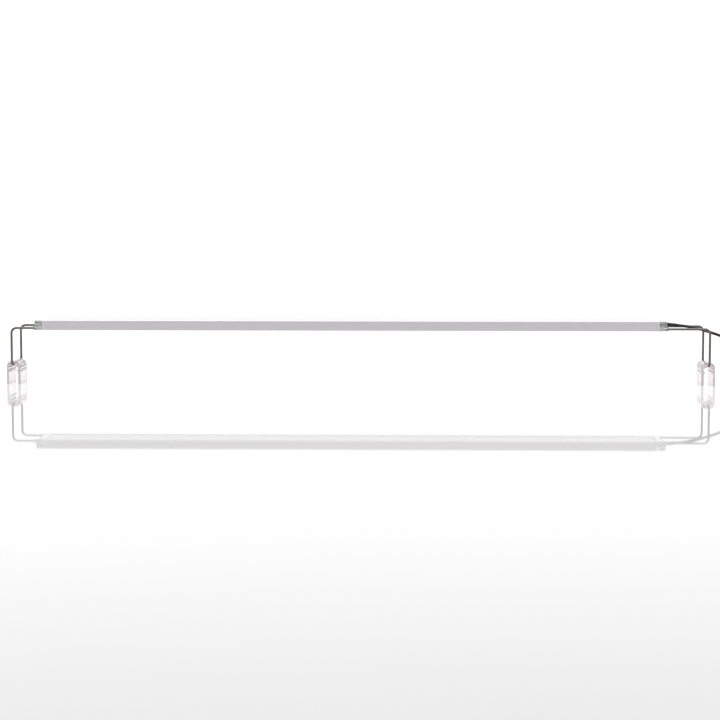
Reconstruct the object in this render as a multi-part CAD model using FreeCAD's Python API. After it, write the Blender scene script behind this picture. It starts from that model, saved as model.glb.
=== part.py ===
import FreeCAD, Part
import math
import os

# A slim aquarium light bar on two pull-out wire stands, each with a clear clip that sits on the tank rim.
# Millimetres, +Z up. The origin is on the surface that the clips stand on, midway between the two clips.
# +X runs along the bar towards the end that the cord leaves, and -Y is the front.

# ---- driving dimensions -------------------------------------------------------------------------

BAR_LENGTH = 1200.0  # over both end caps
BAR_WIDTH = 100.0
BAR_THICK = 18.6
BAR_BOTTOM = 104.5  # height of the light's underside above the clips' feet
BAR_SHIFT = -18.0  # the bar hangs this far off the middle, because the right stand is pulled out further
BAR_CORNER = 0.8
CAP_LENGTH = 15.0
CAP_CORNER = 1.8
CAP_EDGE = 1.6
GASKET_THICK = 1.0

LIP_HALF = 33.0  # half width of the opening under the light cover
LIP_THICK = 0.8
COVER_HALF = 35.7
COVER_THICK = 2.0
COVER_GROOVE_HALF = 36.0
SEAL_THICK = 0.5
CAVITY_HALF = 34.0
SEAL_SET_BACK = 0.1  # from the cavity's wall
ROOF_BOTTOM = 119.9  # ceiling of the cavity that holds the boards
LINE_DEPTH = 0.3  # the shallow lines along the top
LINE_WIDTH = 1.0
LINE_PITCH = 12.0
LINE_COUNT = 6
CHAMBER_Y = (42.2, 48.2)  # the closed hollow in each side wall, above the wire's channel
CHAMBER_Z = (113.2, 121.3)

WIRE_R = 2.25
WIRE_BEND = 10.0  # to the wire's centreline
WIRE_Y = 42.5
WIRE_Z = 108.3
CROSS_WIRE_Z = 38.0
LEG_X = 663.5  # both stands' legs, left and right of the origin
WIRE_REACH = 122.0  # from the leg to the wire's end inside the bar
COLLAR_LENGTH = 5.0
COLLAR_R = 2.75
CHANNEL_R = 3.0
CAP_BORE_R = 2.5
BUSH_BORE_R = 2.3
BUSH_SLEEVE_R = 3.0
BUSH_SLEEVE_LENGTH = 6.0
BUSH_FLANGE_R = 3.7
BUSH_FLANGE_THICK = 3.0

CLIP_HALF = 13.0
CLIP_DEPTH = 60.0
CLIP_HEIGHT = 44.0
CLIP_CORNER = 11.0
CLIP_EDGE = 0.7
SLOT_HALF = 8.75
SLOT_TOP = 34.0
SLOT_CORNER = 5.0
BUMP_R = 2.6
BUMP_SET_IN = 0.35  # how far the bump's centre lies inside the wall
BUMP_Z = 25.0
SEAT_R = 2.31
SEAT_NECK_HALF = 1.95

BOARD_HALF = 31.0
BOARD_THICK = 1.6
PAD_THICK = 0.5
BOARD_END_GAP = 4.0
BOARD_JOIN_GAP = 1.0
LED_SIZE = (2.8, 3.5, 0.8)
WHITE_ROWS = (-23.0, -8.0, 8.0, 23.0)
WHITE_PER_ROW = 20
BLUE_ROWS = (-15.5, 15.5)
BLUE_PER_ROW = 10
LED_MARGIN = 12.0  # from the board's ends to the rows of LEDs
CHIP_SIZE = (3.2, 1.6, 0.6)
CHIP_ROWS = (-28.0, 28.0)
CHIPS_PER_ROW = 6
CHIP_MARGIN = 20.0
JUMPER_SIZE = (7.0, 2.0, 0.6)
JUMPER_Y = (-3.0, 3.0)
BOARD_SCREWS_PER_BOARD = 4
BOARD_HOLE_CLEARANCE = 0.15

CAP_SCREWS = ((39.5, 119.4), (36.6, 113.9))  # Y and Z of the two screws on each side of a cap
SCREW_R = 1.25
SCREW_HEAD_R = 2.1
SCREW_HEAD_HEIGHT = 1.8
SCREW_HEAD_RECESS = 2.4
SCREW_LENGTH = 22.0
DRIVER_SPAN = 2.6  # the cross-shaped driver recess in every screw's head
DRIVER_SLOT = 0.6
DRIVER_DEPTH = 1.0
BOARD_DRIVER_DEPTH = 0.8
BOARD_SCREW_LENGTH = 3.7
BOARD_SCREW_HEAD = 1.3

CORD_R = 2.75
CORD_ARC_SHARE = 0.45  # how much of the shorter run beside a point its arc takes
CORD_Z = 114.9
BOOT_COLLAR_R = 3.9
BOOT_COLLAR_LENGTH = 2.5
BOOT_TAPER_START = 1.5  # from the cap's face, inside the collar
BOOT_TAPER_LENGTH = 27.0
BOOT_TILT = 4.5  # degrees that the taper points down
BOOT_ROOT_R = 3.6
BOOT_TIP_R = 3.0
BOOT_BARREL_R = 3.0
BOOT_INNER_LENGTH = 19.0
LEAD_R = 0.8
LEAD_SPREAD = 1.3
LEAD_BEND = 1.8
TERMINAL_SIZE = (8.0, 9.0, 2.4)
TERMINAL_SET_IN = 6.0  # from the board's end

COIL_X = 800.0
COIL_Y = 0.0
COIL_OUTER_TURN = 38.5  # radius to the outer turn's centreline
COIL_INNER_TURN = 20.6
COIL_LAYERS = 2
TIE_THICK = 0.8
TIE_WIDTH = 9.0

PLUG_X = 762.0  # where the cord enters the plug, which points along -X
PLUG_Y = -38.4
PLUG_R = 4.75
PLUG_TAPER_LENGTH = 10.0
PLUG_TAPER_R = 3.2
PLUG_BODY_LENGTH = 16.0
PLUG_RING_COUNT = 2
PLUG_RING_START = 2.4  # from the taper's end
PLUG_RING_PITCH = 4.8
PLUG_RING_LENGTH = 1.6
PLUG_RING_DEPTH = 0.5
BARREL_R = 2.75
BARREL_LENGTH = 9.5
BARREL_BORE_R = 2.25
CONTACT_R = 1.45
CONTACT_BORE_R = 1.05
INSULATOR_SET_BACK = 0.6  # from the barrel's mouth
CONTACT_SET_BACK = 1.0

# The cord's route from the end of its boot to the coil, and from the coil to the plug.
CORD_ROUTE = [
    (610.4, 0.0, 112.78),
    (630.0, 0.0, 110.8),
    (655.0, 0.0, 104.6),
    (690.0, 0.5, 93.6),
    (721.0, 4.0, 79.0),
    (746.0, 12.0, 57.0),
    (764.0, 22.5, 33.5),
    (777.0, 32.0, 16.5),
    (791.0, 36.5, 8.6),
]
TAIL_ROUTE = [
    (797.0, -38.5, 2.75),
    (785.0, -38.8, 2.8),
    (773.0, -38.6, 4.3),
    (762.0, -38.4, 4.75),
]

# ---- worked-out dimensions ----------------------------------------------------------------------

BAR_TOP = BAR_BOTTOM + BAR_THICK
BAR_LEFT = BAR_SHIFT - BAR_LENGTH / 2
BAR_RIGHT = BAR_SHIFT + BAR_LENGTH / 2
BAR_HALF = BAR_WIDTH / 2
SHELL_LEFT = BAR_LEFT + CAP_LENGTH + GASKET_THICK
SHELL_RIGHT = BAR_RIGHT - CAP_LENGTH - GASKET_THICK
COVER_BOTTOM = BAR_BOTTOM + LIP_THICK
SEAL_BOTTOM = COVER_BOTTOM + COVER_THICK
CAVITY_BOTTOM = SEAL_BOTTOM + SEAL_THICK
PAD_BOTTOM = ROOF_BOTTOM - PAD_THICK
BOARD_BOTTOM = PAD_BOTTOM - BOARD_THICK
BOARD_LEFT = SHELL_LEFT + BOARD_END_GAP
BOARD_RIGHT = SHELL_RIGHT - BOARD_END_GAP
BOARD_MIDDLE = (BOARD_LEFT + BOARD_RIGHT) / 2
LEFT_BOARD = (BOARD_LEFT, BOARD_MIDDLE - BOARD_JOIN_GAP / 2)
RIGHT_BOARD = (BOARD_MIDDLE + BOARD_JOIN_GAP / 2, BOARD_RIGHT)
BOARDS = (LEFT_BOARD, RIGHT_BOARD)
CUT = 1.0  # how far a cutting solid runs past the face it opens
NEAR = 1e-4  # two places closer than this are the same

V = FreeCAD.Vector
X_AXIS = V(1, 0, 0)
Y_AXIS = V(0, 1, 0)

nodes = {}

# ---- helpers ------------------------------------------------------------------------------------


def box(x0, x1, y0, y1, z0, z1):
    return Part.makeBox(x1 - x0, y1 - y0, z1 - z0, V(x0, y0, z0))


def centred_box(centre, size):
    """A box with its middle at centre."""
    (x, y, z), (sx, sy, sz) = centre, size
    return box(x - sx / 2, x + sx / 2, y - sy / 2, y + sy / 2, z - sz / 2, z + sz / 2)


def rod_x(x0, x1, y, z, r):
    """A cylinder along X between x0 and x1, in either order."""
    return Part.makeCylinder(r, abs(x1 - x0), V(min(x0, x1), y, z), X_AXIS)


def joined(solids):
    """One solid from solids that overlap or touch."""
    whole = solids[0]
    if len(solids) > 1:
        whole = whole.fuse(solids[1:])
    whole = whole.removeSplitter()
    return whole.Solids[0] if len(whole.Solids) == 1 else whole


def without(shape, cutters):
    """The shape with the cutters taken away."""
    rest = shape.cut(cutters)
    return rest.Solids[0] if len(rest.Solids) == 1 else rest


def group(solids):
    """Separate solids kept together as one piece of the model."""
    return Part.makeCompound(solids)


def arc_edge(start, middle, end):
    return Part.Arc(start, middle, end).toShape()


def line_edge(start, end):
    return Part.LineSegment(start, end).toShape()


def round_bar(x0, x1, half, z0, z1, r):
    """A bar along X whose section is a rectangle with round corners."""
    slant = r * (1 - math.sqrt(0.5))
    y0, y1 = -half, half
    edges = [
        line_edge(V(x0, y0 + r, z0), V(x0, y1 - r, z0)),
        arc_edge(V(x0, y1 - r, z0), V(x0, y1 - slant, z0 + slant), V(x0, y1, z0 + r)),
        line_edge(V(x0, y1, z0 + r), V(x0, y1, z1 - r)),
        arc_edge(V(x0, y1, z1 - r), V(x0, y1 - slant, z1 - slant), V(x0, y1 - r, z1)),
        line_edge(V(x0, y1 - r, z1), V(x0, y0 + r, z1)),
        arc_edge(V(x0, y0 + r, z1), V(x0, y0 + slant, z1 - slant), V(x0, y0, z1 - r)),
        line_edge(V(x0, y0, z1 - r), V(x0, y0, z0 + r)),
        arc_edge(V(x0, y0, z0 + r), V(x0, y0 + slant, z0 + slant), V(x0, y0 + r, z0)),
    ]
    return Part.Face(Part.Wire(edges)).extrude(V(x1 - x0, 0, 0))


def arch(x, half, z0, z1, r, y0, y1):
    """An upright block along Y, centred on x, with its two top corners rounded."""
    slant = r * (1 - math.sqrt(0.5))
    left, right = x - half, x + half
    edges = [
        line_edge(V(left, y0, z0), V(left, y0, z1 - r)),
        arc_edge(V(left, y0, z1 - r), V(left + slant, y0, z1 - slant), V(left + r, y0, z1)),
        line_edge(V(left + r, y0, z1), V(right - r, y0, z1)),
        arc_edge(V(right - r, y0, z1), V(right - slant, y0, z1 - slant), V(right, y0, z1 - r)),
        line_edge(V(right, y0, z1 - r), V(right, y0, z0)),
        line_edge(V(right, y0, z0), V(left, y0, z0)),
    ]
    return Part.Face(Part.Wire(edges)).extrude(V(0, y1 - y0, 0))


def edges_in_plane(shape, axis, value):
    """The shape's edges that lie wholly in the plane where the axis (0, 1 or 2) has this value."""
    return [
        edge
        for edge in shape.Edges
        if all(abs(vertex.Point[axis] - value) < NEAR for vertex in edge.Vertexes)
    ]


def path_wire(points, radii):
    """Straight runs between the points, joined at each inner point by a tangent arc of the given radius."""
    edges = []
    start = points[0]
    for before, corner, after, r in zip(points, points[1:], points[2:], radii):
        inward = (before - corner).normalize()
        outward = (after - corner).normalize()
        half = inward.getAngle(outward) / 2
        reach = r / math.tan(half)
        arc_start = corner + inward * reach
        arc_end = corner + outward * reach
        towards_centre = (inward + outward).normalize()
        arc_middle = corner + towards_centre * (r / math.sin(half) - r)
        edges.append(line_edge(start, arc_start))
        edges.append(arc_edge(arc_start, arc_middle, arc_end))
        start = arc_end
    edges.append(line_edge(start, points[-1]))
    return Part.Wire(edges)


def swept(wire, start, direction, r):
    """A round rod of radius r along the wire."""
    ring = Part.Wire(Part.makeCircle(r, start, direction))
    return wire.makePipeShell([ring], True, False)


def cord_radii(points):
    """The arc at each inner point: a share of its shorter run, divided by the tangent of half its turn."""
    radii = []
    for before, corner, after in zip(points, points[1:], points[2:]):
        turn = math.pi - (before - corner).getAngle(after - corner)
        shorter = min((before - corner).Length, (after - corner).Length)
        radii.append(CORD_ARC_SHARE * shorter / math.tan(turn / 2))
    return radii


def cord_tube(name, route):
    points = [V(*place) for place in route]
    radii = cord_radii(points)
    wire = path_wire(points, radii)
    tube = swept(wire, points[0], points[1] - points[0], CORD_R)
    expected = math.pi * CORD_R**2 * wire.Length
    runs = [(b - a).Length for a, b in zip(points, points[1:])]
    print(name, "runs", [round(run, 1) for run in runs], "length", round(wire.Length, 1))
    print(name, "radii", [round(r, 1) for r in radii], "volume / expected", tube.Volume / expected)
    return tube


def spread(first, last, count):
    """count places with equal gaps, half a gap in from first and last."""
    step = (last - first) / count
    return [first + step * (i + 0.5) for i in range(count)]


def cap_screw_places():
    """Y and Z of a cap's four screws."""
    return [(side * y, z) for side in (-1, 1) for y, z in CAP_SCREWS]


def cap_screw(face_x, inward, y, z):
    """A screw along X whose head sits in its recess in the cap's face. inward is +1 or -1."""
    head_top = face_x + inward * (SCREW_HEAD_RECESS - SCREW_HEAD_HEIGHT)
    head_bottom = face_x + inward * SCREW_HEAD_RECESS
    head = rod_x(head_top, head_bottom, y, z, SCREW_HEAD_R)
    shank = rod_x(head_bottom, head_bottom + inward * SCREW_LENGTH, y, z, SCREW_R)
    depth = 2 * DRIVER_DEPTH
    cross = [
        centred_box((head_top, y, z), (depth, DRIVER_SPAN, DRIVER_SLOT)),
        centred_box((head_top, y, z), (depth, DRIVER_SLOT, DRIVER_SPAN)),
    ]
    return without(joined([head, shank]), cross)


def board_screw_places():
    """X of every screw that holds a board to the shell's ceiling, all on the centre line."""
    return [x for board in BOARDS for x in spread(board[0], board[1], BOARD_SCREWS_PER_BOARD)]


# ---- shell --------------------------------------------------------------------------------------


def housing_extrusion():
    """The aluminium profile: a cavity below, wire channels and screw holes at the sides, fine lines on top."""
    x0, x1 = SHELL_LEFT, SHELL_RIGHT
    bar = round_bar(x0, x1, BAR_HALF, BAR_BOTTOM, BAR_TOP, BAR_CORNER)
    c0, c1 = x0 - CUT, x1 + CUT
    cutters = [
        box(c0, c1, -LIP_HALF, LIP_HALF, BAR_BOTTOM - CUT, COVER_BOTTOM + CUT),
        box(c0, c1, -COVER_GROOVE_HALF, COVER_GROOVE_HALF, COVER_BOTTOM, CAVITY_BOTTOM),
        box(c0, c1, -CAVITY_HALF, CAVITY_HALF, CAVITY_BOTTOM - CUT, ROOF_BOTTOM),
    ]
    for side in (-1, 1):
        cutters.append(rod_x(c0, c1, side * WIRE_Y, WIRE_Z, CHANNEL_R))
        near, far = sorted((side * CHAMBER_Y[0], side * CHAMBER_Y[1]))
        cutters.append(box(c0, c1, near, far, CHAMBER_Z[0], CHAMBER_Z[1]))
    cutters += [rod_x(c0, c1, y, z, SCREW_R) for y, z in cap_screw_places()]
    for i in range(LINE_COUNT):
        y = LINE_PITCH * (i - (LINE_COUNT - 1) / 2)
        half = LINE_WIDTH / 2
        cutters.append(box(c0, c1, y - half, y + half, BAR_TOP - LINE_DEPTH, BAR_TOP + CUT))
    shell = without(bar, cutters)
    hole_top = BOARD_BOTTOM + BOARD_SCREW_LENGTH
    holes = [
        Part.makeCylinder(SCREW_R, hole_top - ROOF_BOTTOM + CUT, V(x, 0, ROOF_BOTTOM - CUT))
        for x in board_screw_places()
    ]
    return without(shell, holes)


def light_cover():
    """The clear sheet that slides into the shell's grooves."""
    return box(SHELL_LEFT, SHELL_RIGHT, -COVER_HALF, COVER_HALF, COVER_BOTTOM, SEAL_BOTTOM)


def cover_seals():
    """The two strips pressed between the cover's edges and the shell."""
    inner = CAVITY_HALF + SEAL_SET_BACK
    return group(
        [
            box(SHELL_LEFT, SHELL_RIGHT, -COVER_HALF, -inner, SEAL_BOTTOM, CAVITY_BOTTOM),
            box(SHELL_LEFT, SHELL_RIGHT, inner, COVER_HALF, SEAL_BOTTOM, CAVITY_BOTTOM),
        ]
    )


def end_gasket(x0, x1):
    """The flat gasket between a cap and the shell, open over the cavity, the wires and the screws."""
    plate = round_bar(x0, x1, BAR_HALF, BAR_BOTTOM, BAR_TOP, CAP_CORNER)
    cutters = [
        box(x0 - CUT, x1 + CUT, -CAVITY_HALF, CAVITY_HALF, CAVITY_BOTTOM, ROOF_BOTTOM)
    ]
    for side in (-1, 1):
        cutters.append(rod_x(x0 - CUT, x1 + CUT, side * WIRE_Y, WIRE_Z, CAP_BORE_R))
    cutters += [rod_x(x0 - CUT, x1 + CUT, y, z, SCREW_R) for y, z in cap_screw_places()]
    return without(plate, cutters)


def end_cap(face_x, inward):
    """A clear cap. face_x is its outer face, and inward is +1 on the left cap and -1 on the right one."""
    inner_x = face_x + inward * CAP_LENGTH
    x0, x1 = min(face_x, inner_x), max(face_x, inner_x)
    cap = round_bar(x0, x1, BAR_HALF, BAR_BOTTOM, BAR_TOP, CAP_CORNER)
    cap = cap.makeFillet(CAP_EDGE, edges_in_plane(cap, 0, face_x))
    outside = face_x - inward * CUT
    inside = inner_x + inward * CUT
    cutters = []
    for side in (-1, 1):
        cutters.append(rod_x(outside, inside, side * WIRE_Y, WIRE_Z, CAP_BORE_R))
        sleeve_end = face_x + inward * BUSH_SLEEVE_LENGTH
        cutters.append(rod_x(outside, sleeve_end, side * WIRE_Y, WIRE_Z, BUSH_SLEEVE_R))
    for y, z in cap_screw_places():
        cutters.append(rod_x(outside, inside, y, z, SCREW_R))
        cutters.append(rod_x(outside, face_x + inward * SCREW_HEAD_RECESS, y, z, SCREW_HEAD_R))
    if inward < 0:
        cutters.append(rod_x(outside, inside, 0, CORD_Z, BOOT_BARREL_R))
    return without(cap, cutters)


def cap_screws(face_x, inward):
    return group([cap_screw(face_x, inward, y, z) for y, z in cap_screw_places()])


def wire_bushes(face_x, inward):
    """The two flanged rubber bushes that the stand's wires slide through and that hold them by friction."""
    bushes = []
    for side in (-1, 1):
        y = side * WIRE_Y
        flange_x = face_x - inward * BUSH_FLANGE_THICK
        sleeve_x = face_x + inward * BUSH_SLEEVE_LENGTH
        flange = rod_x(flange_x, face_x, y, WIRE_Z, BUSH_FLANGE_R)
        sleeve = rod_x(face_x, sleeve_x, y, WIRE_Z, BUSH_SLEEVE_R)
        bore = rod_x(flange_x - inward * CUT, sleeve_x + inward * CUT, y, WIRE_Z, BUSH_BORE_R)
        bushes.append(without(joined([flange, sleeve]), [bore]))
    return group(bushes)


# ---- boards -------------------------------------------------------------------------------------


def screw_holes(z0, z1):
    r = SCREW_R + BOARD_HOLE_CLEARANCE
    return [Part.makeCylinder(r, z1 - z0 + 2 * CUT, V(x, 0, z0 - CUT)) for x in board_screw_places()]


def thermal_pad():
    pad = box(BOARD_LEFT, BOARD_RIGHT, -BOARD_HALF, BOARD_HALF, PAD_BOTTOM, ROOF_BOTTOM)
    return without(pad, screw_holes(PAD_BOTTOM, ROOF_BOTTOM))


def led_board(board):
    plate = box(board[0], board[1], -BOARD_HALF, BOARD_HALF, BOARD_BOTTOM, PAD_BOTTOM)
    return without(plate, screw_holes(BOARD_BOTTOM, PAD_BOTTOM))


def board_screws():
    screws = []
    for x in board_screw_places():
        shank = Part.makeCylinder(SCREW_R, BOARD_SCREW_LENGTH, V(x, 0, BOARD_BOTTOM))
        head = Part.makeCylinder(SCREW_HEAD_R, BOARD_SCREW_HEAD, V(x, 0, BOARD_BOTTOM - BOARD_SCREW_HEAD))
        low = (x, 0, BOARD_BOTTOM - BOARD_SCREW_HEAD)
        depth = 2 * BOARD_DRIVER_DEPTH
        cross = [
            centred_box(low, (DRIVER_SPAN, DRIVER_SLOT, depth)),
            centred_box(low, (DRIVER_SLOT, DRIVER_SPAN, depth)),
        ]
        screws.append(without(joined([shank, head]), cross))
    return group(screws)


def under_board(rows, per_row, size, margin):
    """Small parts in straight rows along the underside of both boards."""
    z = BOARD_BOTTOM - size[2] / 2
    return group(
        [
            centred_box((x, y, z), size)
            for board in BOARDS
            for y in rows
            for x in spread(board[0] + margin, board[1] - margin, per_row)
        ]
    )


def board_jumpers():
    """The two soldered links that carry power from the right board to the left one."""
    z = BOARD_BOTTOM - JUMPER_SIZE[2] / 2
    return group([centred_box((BOARD_MIDDLE, y, z), JUMPER_SIZE) for y in JUMPER_Y])


def terminal_block():
    sx, _, sz = TERMINAL_SIZE
    return centred_box((BOARD_RIGHT - TERMINAL_SET_IN - sx / 2, 0, BOARD_BOTTOM - sz / 2), TERMINAL_SIZE)


def lead_wire(side):
    """One insulated lead from the cord's end, just inside the shell, up to the terminal block."""
    y = side * LEAD_SPREAD
    start_x = BAR_RIGHT - BOOT_INNER_LENGTH
    end_x = BOARD_RIGHT - TERMINAL_SET_IN
    level = (start_x - end_x) / 4  # the length of the level run at each end
    high = BOARD_BOTTOM - TERMINAL_SIZE[2] / 2
    points = [
        V(start_x, y, CORD_Z),
        V(start_x - level, y, CORD_Z),
        V(end_x + level, y, high),
        V(end_x, y, high),
    ]
    wire = path_wire(points, [LEAD_BEND] * 2)
    return swept(wire, points[0], points[1] - points[0], LEAD_R)


# ---- stands and clips ---------------------------------------------------------------------------


def stand(side):
    """One bent wire: two rods into the bar, two legs down and the cross wire that the clip hangs on."""
    leg_x = side * LEG_X
    end_x = leg_x - side * WIRE_REACH
    points = [
        V(end_x, -WIRE_Y, WIRE_Z),
        V(leg_x, -WIRE_Y, WIRE_Z),
        V(leg_x, -WIRE_Y, CROSS_WIRE_Z),
        V(leg_x, WIRE_Y, CROSS_WIRE_Z),
        V(leg_x, WIRE_Y, WIRE_Z),
        V(end_x, WIRE_Y, WIRE_Z),
    ]
    wire = path_wire(points, [WIRE_BEND] * 4)
    return swept(wire, points[0], points[1] - points[0], WIRE_R)


def wire_collars(side):
    """The stop collars pressed on the wire's two ends, which can't pass the cap's bores."""
    end_x = side * (LEG_X - WIRE_REACH)
    collars = []
    for y in (-WIRE_Y, WIRE_Y):
        collar = rod_x(end_x, end_x + side * COLLAR_LENGTH, y, WIRE_Z, COLLAR_R)
        bore = rod_x(end_x - side * CUT, end_x + side * (COLLAR_LENGTH + CUT), y, WIRE_Z, WIRE_R)
        collars.append(without(collar, [bore]))
    return group(collars)


def rim_clip(side):
    """The clear clip: a deep slot for the tank's glass, two grip bumps and a snap seat for the cross wire."""
    x = side * LEG_X
    y0, y1 = -CLIP_DEPTH / 2, CLIP_DEPTH / 2
    block = arch(x, CLIP_HALF, 0, CLIP_HEIGHT, CLIP_CORNER, y0, y1)
    rims = edges_in_plane(block, 1, y0) + edges_in_plane(block, 1, y1)
    foot_free = [edge for edge in rims if max(v.Point[2] for v in edge.Vertexes) > CUT]
    block = block.makeFillet(CLIP_EDGE, foot_free)
    slot = arch(x, SLOT_HALF, -CUT, SLOT_TOP, SLOT_CORNER, y0 - CUT, y1 + CUT)
    bumps = [
        Part.makeCylinder(BUMP_R, CLIP_DEPTH + 2 * CUT, V(x + end, y0 - CUT, BUMP_Z), Y_AXIS)
        for end in (-SLOT_HALF - BUMP_SET_IN, SLOT_HALF + BUMP_SET_IN)
    ]
    slot = slot.cut(bumps)
    seat = Part.makeCylinder(SEAT_R, CLIP_DEPTH + 2 * CUT, V(x, y0 - CUT, CROSS_WIRE_Z), Y_AXIS)
    neck = box(x - SEAT_NECK_HALF, x + SEAT_NECK_HALF, y0 - CUT, y1 + CUT, SLOT_TOP - CUT, CROSS_WIRE_Z)
    return without(block, [slot, seat, neck])


# ---- cord ---------------------------------------------------------------------------------------


def cord_boot():
    """The drooping tapered boot, with the barrel that runs through the cap and grips the cord."""
    barrel = rod_x(BAR_RIGHT - BOOT_INNER_LENGTH, BAR_RIGHT, 0, CORD_Z, BOOT_BARREL_R)
    collar = rod_x(BAR_RIGHT, BAR_RIGHT + BOOT_COLLAR_LENGTH, 0, CORD_Z, BOOT_COLLAR_R)
    tilt = math.radians(BOOT_TILT)
    root = V(BAR_RIGHT + BOOT_TAPER_START, 0, CORD_Z)
    droop = V(math.cos(tilt), 0, -math.sin(tilt))
    taper = Part.makeCone(BOOT_ROOT_R, BOOT_TIP_R, BOOT_TAPER_LENGTH, root, droop)
    return joined([barrel, collar, taper])


def tie_band():
    """The flat strap that goes once round the coil's cords, on the side away from the light."""
    x0 = COIL_X + COIL_INNER_TURN - CORD_R
    x1 = COIL_X + COIL_OUTER_TURN + CORD_R
    y0, y1 = COIL_Y - TIE_WIDTH / 2, COIL_Y + TIE_WIDTH / 2
    z1 = COIL_LAYERS * 2 * CORD_R
    t = TIE_THICK
    outer = box(x0 - t, x1 + t, y0, y1, 0, z1 + t)
    inner = box(x0, x1, y0 - CUT, y1 + CUT, t, z1)
    return without(outer, [inner])


def power_cord_coil():
    """The outer shape of the coiled length, less the room that the strap takes."""
    height = COIL_LAYERS * 2 * CORD_R
    outer = Part.makeCylinder(COIL_OUTER_TURN + CORD_R, height, V(COIL_X, COIL_Y, 0))
    hole = Part.makeCylinder(COIL_INNER_TURN - CORD_R, height + 2 * CUT, V(COIL_X, COIL_Y, -CUT))
    return without(outer, [hole, tie_band()])


def plug_body():
    """The moulded grip: a taper where the cord enters, then a round body with two finger rings."""
    taper = Part.makeCone(PLUG_TAPER_R, PLUG_R, PLUG_TAPER_LENGTH, V(PLUG_X, PLUG_Y, PLUG_R), -X_AXIS)
    body_x = PLUG_X - PLUG_TAPER_LENGTH
    body = rod_x(body_x, body_x - PLUG_BODY_LENGTH, PLUG_Y, PLUG_R, PLUG_R)
    whole = joined([taper, body])
    for i in range(PLUG_RING_COUNT):
        ring_x = body_x - PLUG_RING_START - i * PLUG_RING_PITCH
        ring = rod_x(ring_x, ring_x - PLUG_RING_LENGTH, PLUG_Y, PLUG_R, PLUG_R + CUT)
        core = rod_x(ring_x + CUT, ring_x - PLUG_RING_LENGTH - CUT, PLUG_Y, PLUG_R, PLUG_R - PLUG_RING_DEPTH)
        whole = without(whole, [ring.cut(core)])
    return whole


def plug_sleeve(outer_r, inner_r, length):
    """One of the plug's concentric sleeves, standing out of its body along -X."""
    root_x = PLUG_X - PLUG_TAPER_LENGTH - PLUG_BODY_LENGTH
    sleeve = rod_x(root_x, root_x - length, PLUG_Y, PLUG_R, outer_r)
    bore = rod_x(root_x + CUT, root_x - length - CUT, PLUG_Y, PLUG_R, inner_r)
    return without(sleeve, [bore])


# ---- the whole light ----------------------------------------------------------------------------

nodes["housing_extrusion"] = housing_extrusion()
nodes["light_cover"] = light_cover()
nodes["cover_seals"] = cover_seals()
nodes["end_cap_left"] = end_cap(BAR_LEFT, 1)
nodes["end_cap_right"] = end_cap(BAR_RIGHT, -1)
nodes["end_gasket_left"] = end_gasket(SHELL_LEFT - GASKET_THICK, SHELL_LEFT)
nodes["end_gasket_right"] = end_gasket(SHELL_RIGHT, SHELL_RIGHT + GASKET_THICK)
nodes["cap_screws_left"] = cap_screws(BAR_LEFT, 1)
nodes["cap_screws_right"] = cap_screws(BAR_RIGHT, -1)
nodes["wire_bushes_left"] = wire_bushes(BAR_LEFT, 1)
nodes["wire_bushes_right"] = wire_bushes(BAR_RIGHT, -1)
nodes["thermal_pad"] = thermal_pad()
nodes["led_board_left"] = led_board(LEFT_BOARD)
nodes["led_board_right"] = led_board(RIGHT_BOARD)
nodes["white_leds"] = under_board(WHITE_ROWS, WHITE_PER_ROW, LED_SIZE, LED_MARGIN)
nodes["blue_leds"] = under_board(BLUE_ROWS, BLUE_PER_ROW, LED_SIZE, LED_MARGIN)
nodes["board_resistors"] = under_board(CHIP_ROWS, CHIPS_PER_ROW, CHIP_SIZE, CHIP_MARGIN)
nodes["board_screws"] = board_screws()
nodes["board_jumpers"] = board_jumpers()
nodes["terminal_block"] = terminal_block()
nodes["lead_wire_red"] = lead_wire(1)
nodes["lead_wire_black"] = lead_wire(-1)
nodes["stand_left"] = stand(-1)
nodes["stand_right"] = stand(1)
nodes["wire_collars_left"] = wire_collars(-1)
nodes["wire_collars_right"] = wire_collars(1)
nodes["rim_clip_left"] = rim_clip(-1)
nodes["rim_clip_right"] = rim_clip(1)
nodes["cord_boot"] = cord_boot()
nodes["power_cord"] = cord_tube("power_cord", CORD_ROUTE)
nodes["power_cord_coil"] = power_cord_coil()
nodes["power_cord_tail"] = cord_tube("power_cord_tail", TAIL_ROUTE)
nodes["cord_tie"] = tie_band()
nodes["dc_plug_body"] = plug_body()
nodes["dc_plug_barrel"] = plug_sleeve(BARREL_R, BARREL_BORE_R, BARREL_LENGTH)
nodes["dc_plug_insulator"] = plug_sleeve(BARREL_BORE_R, CONTACT_R, BARREL_LENGTH - INSULATOR_SET_BACK)
nodes["dc_plug_contact"] = plug_sleeve(CONTACT_R, CONTACT_BORE_R, BARREL_LENGTH - CONTACT_SET_BACK)

os.makedirs("parts", exist_ok=True)
for name, shape in nodes.items():
    shape.exportStep(f"parts/{name}.step")
    bad = "" if shape.isValid() else "  NOT VALID"
    print(f"{name:20s} solids {len(shape.Solids):3d}  volume {shape.Volume / 1000:9.3f} cm3{bad}")
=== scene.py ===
import bpy
import bmesh
import math
from mathutils import Vector, Matrix


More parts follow.
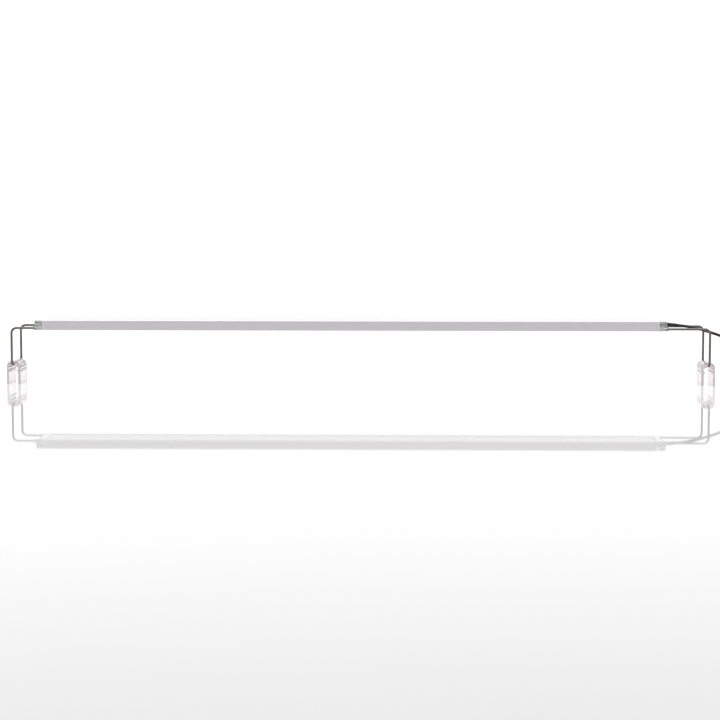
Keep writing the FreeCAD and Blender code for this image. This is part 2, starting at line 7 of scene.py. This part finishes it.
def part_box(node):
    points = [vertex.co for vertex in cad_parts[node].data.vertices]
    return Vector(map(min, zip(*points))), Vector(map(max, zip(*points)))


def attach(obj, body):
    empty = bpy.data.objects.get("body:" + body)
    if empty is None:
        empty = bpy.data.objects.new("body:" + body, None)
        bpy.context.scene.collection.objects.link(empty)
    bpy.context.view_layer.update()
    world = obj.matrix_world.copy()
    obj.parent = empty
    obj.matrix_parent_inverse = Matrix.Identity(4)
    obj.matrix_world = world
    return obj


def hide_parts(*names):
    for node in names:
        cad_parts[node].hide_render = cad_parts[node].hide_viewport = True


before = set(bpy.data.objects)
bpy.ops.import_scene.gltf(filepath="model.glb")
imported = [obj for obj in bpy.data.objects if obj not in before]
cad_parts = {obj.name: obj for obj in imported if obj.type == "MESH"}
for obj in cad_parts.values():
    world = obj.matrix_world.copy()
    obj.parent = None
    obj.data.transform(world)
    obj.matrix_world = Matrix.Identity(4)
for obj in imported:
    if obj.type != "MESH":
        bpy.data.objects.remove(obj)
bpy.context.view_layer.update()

# ---- places and sizes, in metres, from the frame ------------------------------------------------

coil_low, coil_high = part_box("power_cord_coil")
tie_low, tie_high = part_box("cord_tie")
plug_low, plug_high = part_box("dc_plug_body")

CORD_R = 0.00275

# ---- camera -------------------------------------------------------------------------------------

scene = bpy.context.scene
camera = bpy.data.objects.new("camera", bpy.data.cameras.new("camera"))
scene.collection.objects.link(camera)
camera.data.sensor_width = 36.0
camera.data.lens = 93.32
camera.data.clip_start = 0.05
camera.data.clip_end = 60.0
camera.location = (0.1109, -3.5756, 0.3499)
camera.rotation_euler = (math.radians(90 - 4.873), 0, math.radians(1.761))
scene.camera = camera
scene.view_settings.view_transform = "Standard"

# ---- helpers ------------------------------------------------------------------------------------


def link(obj):
    scene.collection.objects.link(obj)
    return obj


def mesh_object(name, bm, smooth=True):
    mesh = bpy.data.meshes.new(name)
    bm.normal_update()
    bm.to_mesh(mesh)
    bm.free()
    for face in mesh.polygons:
        face.use_smooth = smooth
    return link(bpy.data.objects.new(name, mesh))


def paint(obj, material):
    obj.data.materials.clear()
    obj.data.materials.append(material)
    return obj


def lathe(name, profile, start, along, segments=48):
    """A turned shape: profile is (distance from start along the axis, radius) from one end to the other."""
    along = Vector(along).normalized()
    side = along.orthogonal().normalized()
    across = along.cross(side)
    bm = bmesh.new()
    rings = []
    for distance, radius in profile:
        centre = Vector(start) + along * distance
        if radius == 0:
            rings.append([bm.verts.new(centre)])
            continue
        ring = []
        for i in range(segments):
            turn = 2 * math.pi * i / segments
            ring.append(bm.verts.new(centre + (side * math.cos(turn) + across * math.sin(turn)) * radius))
        rings.append(ring)
    for low, high in zip(rings, rings[1:]):
        for i in range(segments):
            j = (i + 1) % segments
            if len(low) == 1 and len(high) > 1:
                bm.faces.new((low[0], high[j], high[i]))
            elif len(high) == 1 and len(low) > 1:
                bm.faces.new((low[i], low[j], high[0]))
            elif len(low) > 1:
                bm.faces.new((low[i], low[j], high[j], high[i]))
    bmesh.ops.recalc_face_normals(bm, faces=bm.faces)
    return mesh_object(name, bm)


def nurbs_curve(name, points, radius, bevel_resolution=6):
    """An open smooth line with the points as its control points, as thick as a cord."""
    curve = bpy.data.curves.new(name, "CURVE")
    curve.dimensions = "3D"
    spline = curve.splines.new("NURBS")
    spline.points.add(len(points) - 1)
    for point, place in zip(spline.points, points):
        point.co = (*place, 1.0)
    spline.order_u = 3
    spline.use_endpoint_u = True
    curve.resolution_u = 8
    curve.bevel_depth = radius
    curve.bevel_resolution = bevel_resolution
    curve.use_fill_caps = True
    return link(bpy.data.objects.new(name, curve))


def solid_boxes(node):
    """The low and high corner of every separate solid in a CAD node, in metres."""
    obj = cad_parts[node]
    bm = bmesh.new()
    bm.from_mesh(obj.data)
    bm.transform(obj.matrix_world)
    bmesh.ops.remove_doubles(bm, verts=bm.verts, dist=1e-6)
    seen = set()
    boxes = []
    for first in bm.verts:
        if first in seen:
            continue
        seen.add(first)
        waiting = [first]
        solid = []
        while waiting:
            vert = waiting.pop()
            solid.append(vert.co.copy())
            for edge in vert.link_edges:
                other = edge.other_vert(vert)
                if other not in seen:
                    seen.add(other)
                    waiting.append(other)
        low = Vector([min(p[i] for p in solid) for i in range(3)])
        high = Vector([max(p[i] for p in solid) for i in range(3)])
        boxes.append((low, high))
    bm.free()
    return boxes


def add_box(bm, low, high):
    """A block between two corners."""
    middle = (Vector(low) + Vector(high)) / 2
    size = Vector(high) - Vector(low)
    bmesh.ops.create_cube(bm, size=1.0, matrix=Matrix.Translation(middle) @ Matrix.Diagonal((*size, 1)))


def add_dome(bm, centre, radius, drop, segments=14):
    """A shallow lens that hangs from centre: a rim, a shoulder ring and a lowest point."""
    rings = []
    for r, z in ((radius, 0.0), (radius, drop * 0.4), (radius * 0.72, drop * 0.85)):
        ring = []
        for i in range(segments):
            turn = 2 * math.pi * i / segments
            x, y = centre.x + r * math.cos(turn), centre.y + r * math.sin(turn)
            ring.append(bm.verts.new((x, y, centre.z - z)))
        rings.append(ring)
    tip = bm.verts.new((centre.x, centre.y, centre.z - drop))
    for low, high in zip(rings, rings[1:]):
        for i in range(segments):
            j = (i + 1) % segments
            bm.faces.new((low[j], low[i], high[i], high[j]))
    for i in range(segments):
        bm.faces.new((rings[-1][(i + 1) % segments], rings[-1][i], tip))
    bm.faces.new(rings[0])


# ---- materials ----------------------------------------------------------------------------------


def new_material(name):
    material = bpy.data.materials.new(name)
    material.use_nodes = True
    tree = material.node_tree
    shader = tree.nodes["Principled BSDF"]
    return material, tree, shader


def coordinates(tree, scale):
    """Object coordinates in metres, stretched by scale."""
    place = tree.nodes.new("ShaderNodeTexCoord")
    mapping = tree.nodes.new("ShaderNodeMapping")
    mapping.inputs["Scale"].default_value = scale
    tree.links.new(place.outputs["Object"], mapping.inputs["Vector"])
    return mapping.outputs["Vector"]


def noise(tree, scale, detail=3.0, roughness=0.6):
    """A noise's value, where scale gives its cells per metre along X, Y and Z."""
    texture = tree.nodes.new("ShaderNodeTexNoise")
    texture.inputs["Scale"].default_value = 1.0
    texture.inputs["Detail"].default_value = detail
    texture.inputs["Roughness"].default_value = roughness
    tree.links.new(coordinates(tree, scale), texture.inputs["Vector"])
    return texture.outputs["Fac"]


def ramp(tree, value, low, high, from_low=0.3, from_high=0.7):
    """value mapped from one range to another."""
    node = tree.nodes.new("ShaderNodeMapRange")
    node.inputs["From Min"].default_value = from_low
    node.inputs["From Max"].default_value = from_high
    node.inputs["To Min"].default_value = low
    node.inputs["To Max"].default_value = high
    tree.links.new(value, node.inputs["Value"])
    return node.outputs["Result"]


def mix_colours(tree, value, low, high):
    node = tree.nodes.new("ShaderNodeMix")
    node.data_type = "RGBA"
    node.inputs[6].default_value = (*low, 1)
    node.inputs[7].default_value = (*high, 1)
    tree.links.new(value, node.inputs[0])
    return node.outputs[2]


def bump(tree, shader, height, strength, distance):
    node = tree.nodes.new("ShaderNodeBump")
    node.inputs["Strength"].default_value = strength
    node.inputs["Distance"].default_value = distance
    tree.links.new(height, node.inputs["Height"])
    tree.links.new(node.outputs["Normal"], shader.inputs["Normal"])


def surface(name, low, high, rough, metal=0.0, grain=(900, 900, 900), strength=0.15, distance=0.0001):
    """A material whose colour drifts between low and high, with roughness in a range and a fine bump."""
    material, tree, shader = new_material(name)
    shader.inputs["Metallic"].default_value = metal
    drift = noise(tree, tuple(g / 12 for g in grain))
    fine = noise(tree, grain)
    tree.links.new(mix_colours(tree, ramp(tree, drift, 0, 1), low, high), shader.inputs["Base Color"])
    tree.links.new(ramp(tree, fine, rough[0], rough[1]), shader.inputs["Roughness"])
    bump(tree, shader, fine, strength, distance)
    return material


def clear_plastic(name, tint, density, rough=0.03, clear=1.0, body=(1, 1, 1)):
    """Clear moulded acrylic that darkens with the length of material looked through."""
    material, tree, shader = new_material(name)
    shader.inputs["Base Color"].default_value = (*body, 1)
    shader.inputs["Transmission Weight"].default_value = clear
    shader.inputs["IOR"].default_value = 1.49
    haze = noise(tree, (260, 260, 260))
    tree.links.new(ramp(tree, haze, rough * 0.5, rough * 1.5), shader.inputs["Roughness"])
    bump(tree, shader, haze, 0.05, 0.0002)
    absorb = tree.nodes.new("ShaderNodeVolumeAbsorption")
    absorb.inputs["Color"].default_value = (*tint, 1)
    absorb.inputs["Density"].default_value = density
    tree.links.new(absorb.outputs["Volume"], tree.nodes["Material Output"].inputs["Volume"])
    return material


anodised = surface(
    "anodised_aluminium", (0.925, 0.87, 0.91), (0.965, 0.91, 0.95), (0.26, 0.36),
    metal=1.0, grain=(6, 2600, 2600), strength=0.10, distance=0.00004,
)
stainless = surface(
    "stainless_wire", (0.185, 0.17, 0.16), (0.235, 0.22, 0.205), (0.12, 0.20),
    metal=1.0, grain=(1400,) * 3, strength=0.08, distance=0.00004,
)
clip_acrylic = clear_plastic(
    "clip_acrylic", (0.74, 0.68, 0.715), density=30.0, rough=0.05, clear=0.86, body=(0.96, 0.91, 0.94)
)
cap_acrylic = clear_plastic("cap_acrylic", (0.86, 0.89, 0.88), density=1.0, rough=0.02, clear=0.79)
cover_acrylic = clear_plastic("cover_acrylic", (0.90, 0.93, 0.93), density=1.0, rough=0.01)
silicone = surface("silicone", (0.72, 0.73, 0.72), (0.78, 0.79, 0.78), (0.45, 0.6))
bush_rubber = surface("bush_rubber", (0.20, 0.205, 0.20), (0.27, 0.275, 0.27), (0.5, 0.7), grain=(2500,) * 3)
black_rubber = surface(
    "black_rubber", (0.012, 0.012, 0.014), (0.022, 0.022, 0.024), (0.5, 0.7), grain=(2500,) * 3
)
cord_jacket = surface(
    "cord_jacket", (0.010, 0.009, 0.013), (0.018, 0.016, 0.021), (0.32, 0.5), grain=(1800,) * 3
)
screw_steel = surface(
    "screw_steel", (0.24, 0.24, 0.24), (0.32, 0.32, 0.32), (0.25, 0.4), metal=1.0, grain=(1500,) * 3
)
pad_grey = surface("thermal_pad", (0.30, 0.36, 0.42), (0.36, 0.42, 0.48), (0.6, 0.8))
white_board = surface("white_board", (0.80, 0.80, 0.78), (0.86, 0.86, 0.84), (0.35, 0.5))
phosphor = surface("led_phosphor", (0.80, 0.62, 0.16), (0.88, 0.70, 0.22), (0.3, 0.45))
package_white = surface("led_package", (0.78, 0.78, 0.76), (0.84, 0.84, 0.82), (0.3, 0.45))
trace_white = surface("board_trace", (0.66, 0.67, 0.64), (0.73, 0.74, 0.71), (0.3, 0.42))
led_blue = surface("led_blue", (0.50, 0.60, 0.85), (0.58, 0.68, 0.90), (0.2, 0.35))
chip_black = surface("chip_black", (0.02, 0.02, 0.02), (0.035, 0.035, 0.035), (0.35, 0.5))
solder = surface("solder", (0.60, 0.60, 0.60), (0.72, 0.72, 0.72), (0.2, 0.35), metal=1.0)
terminal_white = surface("terminal_white", (0.74, 0.72, 0.66), (0.80, 0.78, 0.72), (0.35, 0.5))
lead_red = surface("lead_red", (0.42, 0.02, 0.02), (0.50, 0.03, 0.03), (0.35, 0.5))
tie_strap = surface(
    "tie_strap", (0.012, 0.012, 0.014), (0.03, 0.03, 0.034), (0.8, 0.95),
    grain=(1600,) * 3, strength=0.8, distance=0.0004,
)
plug_plastic = surface("plug_plastic", (0.014, 0.014, 0.016), (0.022, 0.022, 0.024), (0.35, 0.5))
nickel = surface("nickel", (0.62, 0.61, 0.58), (0.70, 0.69, 0.66), (0.12, 0.22), metal=1.0)

CAD_MATERIALS = {
    "housing_extrusion": anodised,
    "light_cover": cover_acrylic,
    "cover_seals": silicone,
    "end_cap_left": cap_acrylic,
    "end_cap_right": cap_acrylic,
    "end_gasket_left": silicone,
    "end_gasket_right": silicone,
    "cap_screws_left": screw_steel,
    "cap_screws_right": screw_steel,
    "wire_bushes_left": bush_rubber,
    "wire_bushes_right": bush_rubber,
    "thermal_pad": pad_grey,
    "led_board_left": white_board,
    "led_board_right": white_board,
    "white_leds": package_white,
    "blue_leds": package_white,
    "board_resistors": chip_black,
    "board_screws": screw_steel,
    "board_jumpers": solder,
    "terminal_block": terminal_white,
    "lead_wire_red": lead_red,
    "lead_wire_black": black_rubber,
    "stand_left": stainless,
    "stand_right": stainless,
    "wire_collars_left": stainless,
    "wire_collars_right": stainless,
    "rim_clip_left": clip_acrylic,
    "rim_clip_right": clip_acrylic,
    "cord_boot": black_rubber,
    "cord_tie": tie_strap,
    "dc_plug_body": plug_plastic,
    "dc_plug_barrel": nickel,
    "dc_plug_insulator": chip_black,
    "dc_plug_contact": nickel,
}
for node, material in CAD_MATERIALS.items():
    paint(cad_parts[node], material)

# ---- details on the boards ----------------------------------------------------------------------

LENS_R = 0.00115
LENS_DROP = 0.00035
PAD_LENGTH = 0.00045
PAD_THICK = 0.00018
PAD_INSET = 0.0003
TRACE_HALF = 0.0006
TRACE_THICK = 0.00006
TRACE_MARGIN = 0.006

board_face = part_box("led_board_left")[0].z


def led_lenses(name, node, material):
    """The domed lens under every LED of a CAD node."""
    bm = bmesh.new()
    for low, high in solid_boxes(node):
        middle = (low + high) / 2
        add_dome(bm, Vector((middle.x, middle.y, low.z)), LENS_R, LENS_DROP)
    bmesh.ops.recalc_face_normals(bm, faces=bm.faces)
    lenses = paint(mesh_object(name, bm), material)
    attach(lenses, "light_bar")
    return lenses


led_lenses("white_led_lenses", "white_leds", phosphor)
led_lenses("blue_led_lenses", "blue_leds", led_blue)

# Two solder pads beside every LED and resistor, and a trace along every row of LEDs.
pads = bmesh.new()
for node in ("white_leds", "blue_leds", "board_resistors"):
    for low, high in solid_boxes(node):
        for x0, x1 in ((low.x - PAD_LENGTH, low.x), (high.x, high.x + PAD_LENGTH)):
            start = (x0, low.y + PAD_INSET, board_face - PAD_THICK)
            add_box(pads, start, (x1, high.y - PAD_INSET, board_face))
solder_pads = paint(mesh_object("solder_pads", pads, smooth=False), solder)
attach(solder_pads, "light_bar")

traces = bmesh.new()
for node in ("white_leds", "blue_leds"):
    boxes = solid_boxes(node)
    rows = sorted({round((low.y + high.y) / 2, 4) for low, high in boxes})
    for board in ("led_board_left", "led_board_right"):
        end_low, end_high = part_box(board)
        for y in rows:
            start = (end_low.x + TRACE_MARGIN, y - TRACE_HALF, board_face - TRACE_THICK)
            end = (end_high.x - TRACE_MARGIN, y + TRACE_HALF, board_face)
            add_box(traces, start, end)
board_traces = paint(mesh_object("board_traces", traces, smooth=False), trace_white)
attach(board_traces, "light_bar")

# ---- cord ---------------------------------------------------------------------------------------

# The route is part.py's, in metres: from the boot's end to the coil, and from the coil to the plug.
CORD_ROUTE = [
    (0.6104, 0.0, 0.11278),
    (0.630, 0.0, 0.1108),
    (0.655, 0.0, 0.1046),
    (0.690, 0.0005, 0.0936),
    (0.721, 0.004, 0.079),
    (0.746, 0.012, 0.057),
    (0.764, 0.0225, 0.0335),
    (0.777, 0.032, 0.0165),
    (0.791, 0.0365, 0.0086),
]
TAIL_ROUTE = [
    (0.785, -0.0388, 0.0028),
    (0.773, -0.0386, 0.0043),
    (0.762, -0.0384, 0.00475),
]
TURN_POINTS = 16
COIL_TURNS = 6.5
TIE_LIFT = 0.0008  # how far the strap under the coil lifts the turns
TIE_SPREAD = 0.25  # how far round the coil that reaches, in radians


def coil_points():
    """The coil's turns, clockwise from its +Y side: inwards on top, then outwards on the floor."""
    centre = (coil_low + coil_high) / 2
    outer = (coil_high.y - coil_low.y) / 2 - CORD_R
    inner = outer - 2 * CORD_R * COIL_TURNS / 2
    steps = int(COIL_TURNS * TURN_POINTS)
    cut_inside = math.cos(math.pi / TURN_POINTS)  # how much a smooth line shrinks a ring of points
    points = []
    for i in range(steps + 1):
        done = i / steps
        turn = math.pi / 2 - 2 * math.pi * i / TURN_POINTS
        depth = 1 - abs(2 * done - 1)
        radius = (outer + (inner - outer) * depth) / cut_inside
        fall = min(max((done - 0.5) * COIL_TURNS / 0.5 + 0.5, 0), 1)
        fall = fall * fall * (3 - 2 * fall)
        lift = TIE_LIFT * math.exp(-((math.remainder(turn, 2 * math.pi) / TIE_SPREAD) ** 2))
        z = CORD_R * (3 - 2 * fall) + lift
        points.append((centre.x + radius * math.cos(turn), centre.y + radius * math.sin(turn), z))
    return points


cord_points = CORD_ROUTE + coil_points() + TAIL_ROUTE
cord = nurbs_curve("power_cord_line", cord_points, CORD_R)
paint(cord, cord_jacket)
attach(cord, "light_bar")
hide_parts("power_cord", "power_cord_coil", "power_cord_tail")

# Ribs round the boot's drooping taper.
BOOT_TILT = math.radians(4.5)
boot_along = Vector((math.cos(BOOT_TILT), 0, -math.sin(BOOT_TILT)))
taper_end = Vector(CORD_ROUTE[0])
RIB_COUNT = 7
RIB_PITCH = 0.0031
FIRST_RIB = 0.0035  # from the taper's thick end
TAPER_LENGTH = 0.027
TAPER_THICK_R = 0.0036
TAPER_THIN_R = 0.0030
# One rib's outline: distance along the boot, and height over the taper.
RIB_OUTLINE = (
    (0, -0.0003), (0.0001, 0.00035), (0.0005, 0.00055),
    (0.0011, 0.00055), (0.0015, 0.00035), (0.0016, -0.0003),
)
rib_profile = []
for i in range(RIB_COUNT):
    at = i * RIB_PITCH
    r = TAPER_THICK_R + (TAPER_THIN_R - TAPER_THICK_R) * (at + FIRST_RIB) / TAPER_LENGTH
    rib_profile += [(at + along, r + height) for along, height in RIB_OUTLINE]
rib_profile = [(0, 0)] + rib_profile + [(rib_profile[-1][0], 0)]
ribs_start = taper_end - boot_along * (TAPER_LENGTH - FIRST_RIB)
boot_ribs = lathe("cord_boot_ribs", rib_profile, ribs_start, boot_along, segments=40)
paint(boot_ribs, black_rubber)
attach(boot_ribs, "light_bar")

# The plug's moulded grip: a ribbed taper, two finger rings and a rounded nose.
GRIP_R = 0.00475
GRIP_LENGTH = 0.0260
GRIP_NECK_R = 0.0032
GRIP_SLOPE = 0.155  # how fast the radius grows from the neck
GROOVE_COUNT = 4
GROOVE_START = 0.0012
GROOVE_PITCH = 0.0021
GROOVE_DEPTH = 0.00045
FINGER_RINGS = (0.0124, 0.0172)
FINGER_RING_R = 0.00425
grip_profile = [(0, 0), (0, 0.0029), (0.0004, GRIP_NECK_R)]
for i in range(GROOVE_COUNT):
    at = GROOVE_START + GROOVE_PITCH * i
    r = GRIP_NECK_R + GRIP_SLOPE * at
    bottom = r - GROOVE_DEPTH
    grip_profile += [(at, r), (at + 0.0002, bottom), (at + 0.0009, bottom), (at + 0.0011, r + 0.0001)]
grip_profile += [(0.0095, 0.0046), (0.0102, GRIP_R)]
for at in FINGER_RINGS:
    grip_profile += [(at, GRIP_R), (at + 0.0003, FINGER_RING_R)]
    grip_profile += [(at + 0.0013, FINGER_RING_R), (at + 0.0016, GRIP_R)]
grip_profile += [(0.0252, GRIP_R), (0.0257, 0.00462), (GRIP_LENGTH, 0.0043), (GRIP_LENGTH, 0)]
grip_start = (plug_high.x, (plug_low.y + plug_high.y) / 2, (plug_low.z + plug_high.z) / 2)
plug_grip = lathe("dc_plug_grip", grip_profile, grip_start, (-1, 0, 0))
paint(plug_grip, plug_plastic)
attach(plug_grip, "light_bar")
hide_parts("dc_plug_body")

# The strap: a band with round corners, wrapped over itself on top.
STRAP_THICK = 0.0008
STRAP_CORNER = 0.0022
STRAP_ARC_STEPS = 6
FLAP_INSET = 0.0003
FLAP_STEPS = 10
FLAP_POINTS = 9
FLAP_TIP = 0.3  # the flap's cut end, as a share of the strap's thickness


def strap_outline(inset, low, high):
    """Points round a box with round corners in the XZ plane, anticlockwise from the lower right."""
    r = STRAP_CORNER - inset
    x0, x1, z0, z1 = low.x + inset, high.x - inset, low.z + inset, high.z - inset
    points = []
    corners = ((x1 - r, z0 + r, -90), (x1 - r, z1 - r, 0), (x0 + r, z1 - r, 90), (x0 + r, z0 + r, 180))
    for x, z, begin in corners:
        for i in range(STRAP_ARC_STEPS + 1):
            turn = math.radians(begin + 90 * i / STRAP_ARC_STEPS)
            points.append((x + r * math.cos(turn), z + r * math.sin(turn)))
    return points


def add_band(bm, outer, inner, y0, y1, closed):
    """A band of even width between two outlines, with a round trip or two cut ends."""
    lines = ((outer, y0), (outer, y1), (inner, y1), (inner, y0))
    rows = [[bm.verts.new((x, y, z)) for x, z in line] for line, y in lines]
    count = len(outer)
    for a, b in zip(rows, rows[1:] + rows[:1]):
        for i in range(count if closed else count - 1):
            j = (i + 1) % count
            bm.faces.new((a[i], a[j], b[j], b[i]))
    if not closed:
        bm.faces.new([row[0] for row in rows])
        bm.faces.new([row[-1] for row in reversed(rows)])


strap = bmesh.new()
strap_outside = strap_outline(0, tie_low, tie_high)
strap_inside = strap_outline(STRAP_THICK, tie_low, tie_high)
add_band(strap, strap_outside, strap_inside, tie_low.y, tie_high.y, True)
flap_run = tie_high.x - tie_low.x - 2 * STRAP_CORNER
flap_x = [tie_low.x + STRAP_CORNER + flap_run * i / FLAP_STEPS for i in range(FLAP_POINTS)]
flap_low = [(x, tie_high.z) for x in flap_x]
flap_high = [(x, tie_high.z + STRAP_THICK * (1 if i else FLAP_TIP)) for i, x in enumerate(flap_x)]
add_band(strap, flap_high, flap_low, tie_low.y + FLAP_INSET, tie_high.y - FLAP_INSET, False)
bmesh.ops.recalc_face_normals(strap, faces=strap.faces)
strap_piece = paint(mesh_object("cord_strap", strap, smooth=False), tie_strap)
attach(strap_piece, "light_bar")
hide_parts("cord_tie")

# ---- floor and light ----------------------------------------------------------------------------

FLOOR_SIZE = 60.0
FLOOR_DROP = 0.0003  # the floor lies this far under the clips' feet
FLOOR_GREY = 0.33
FLOOR_GLOW = 0.225

floor_mesh = bmesh.new()
bmesh.ops.create_grid(floor_mesh, x_segments=1, y_segments=1, size=FLOOR_SIZE)
floor = mesh_object("floor", floor_mesh, smooth=False)
floor.location.z = -FLOOR_DROP
floor_material, _, floor_shader = new_material("floor")
floor_shader.inputs["Base Color"].default_value = (FLOOR_GREY, FLOOR_GREY, FLOOR_GREY, 1)
floor_shader.inputs["Roughness"].default_value = 0.03
floor_shader.inputs["Emission Color"].default_value = (1, 1, 1, 1)
floor_shader.inputs["Emission Strength"].default_value = FLOOR_GLOW
paint(floor, floor_material)

# White behind the light at the horizon, softer higher up, bright overhead and dim in front of it, so
# that metal and clear plastic show their shape.
FRONT_LIGHT = 0.38
HORIZON_LIGHT = 1.22
HIGH_BACK_LIGHT = 0.80
OVERHEAD_LIGHT = 1.8

world = bpy.data.worlds.new("studio")
scene.world = world
world.use_nodes = True
sky = world.node_tree
background = sky.nodes["Background"]
background.inputs["Color"].default_value = (1, 1, 1, 1)
direction = sky.nodes.new("ShaderNodeTexCoord")
parts = sky.nodes.new("ShaderNodeSeparateXYZ")
sky.links.new(direction.outputs["Generated"], parts.inputs["Vector"])
across = ramp(sky, parts.outputs["Y"], FRONT_LIGHT, HORIZON_LIGHT, -0.15, 0.70)
behind = ramp(sky, parts.outputs["Z"], HORIZON_LIGHT, HIGH_BACK_LIGHT, 0.13, 0.36)
sky.links.new(behind, across.node.inputs["To Max"])
above = ramp(sky, parts.outputs["Z"], 0.0, 1.0, 0.55, 0.90)
strength = sky.nodes.new("ShaderNodeMix")
strength.inputs["B"].default_value = OVERHEAD_LIGHT
sky.links.new(above, strength.inputs["Factor"])
sky.links.new(across, strength.inputs["A"])
sky.links.new(strength.outputs["Result"], background.inputs["Strength"])


def area_light(name, place, target, size, energy):
    light = bpy.data.lights.new(name, "AREA")
    light.shape = "RECTANGLE"
    light.size, light.size_y = size
    light.energy = energy
    obj = link(bpy.data.objects.new(name, light))
    obj.location = place
    obj.rotation_euler = (Vector(target) - Vector(place)).to_track_quat("-Z", "Y").to_euler()
    obj.visible_glossy = False
    return obj


area_light("key", (-1.6, -1.8, 2.4), (0, 0, 0.1), size=(2.4, 1.6), energy=44)
area_light("fill", (2.2, -0.6, 1.6), (0, 0, 0.1), size=(2.0, 1.6), energy=26)
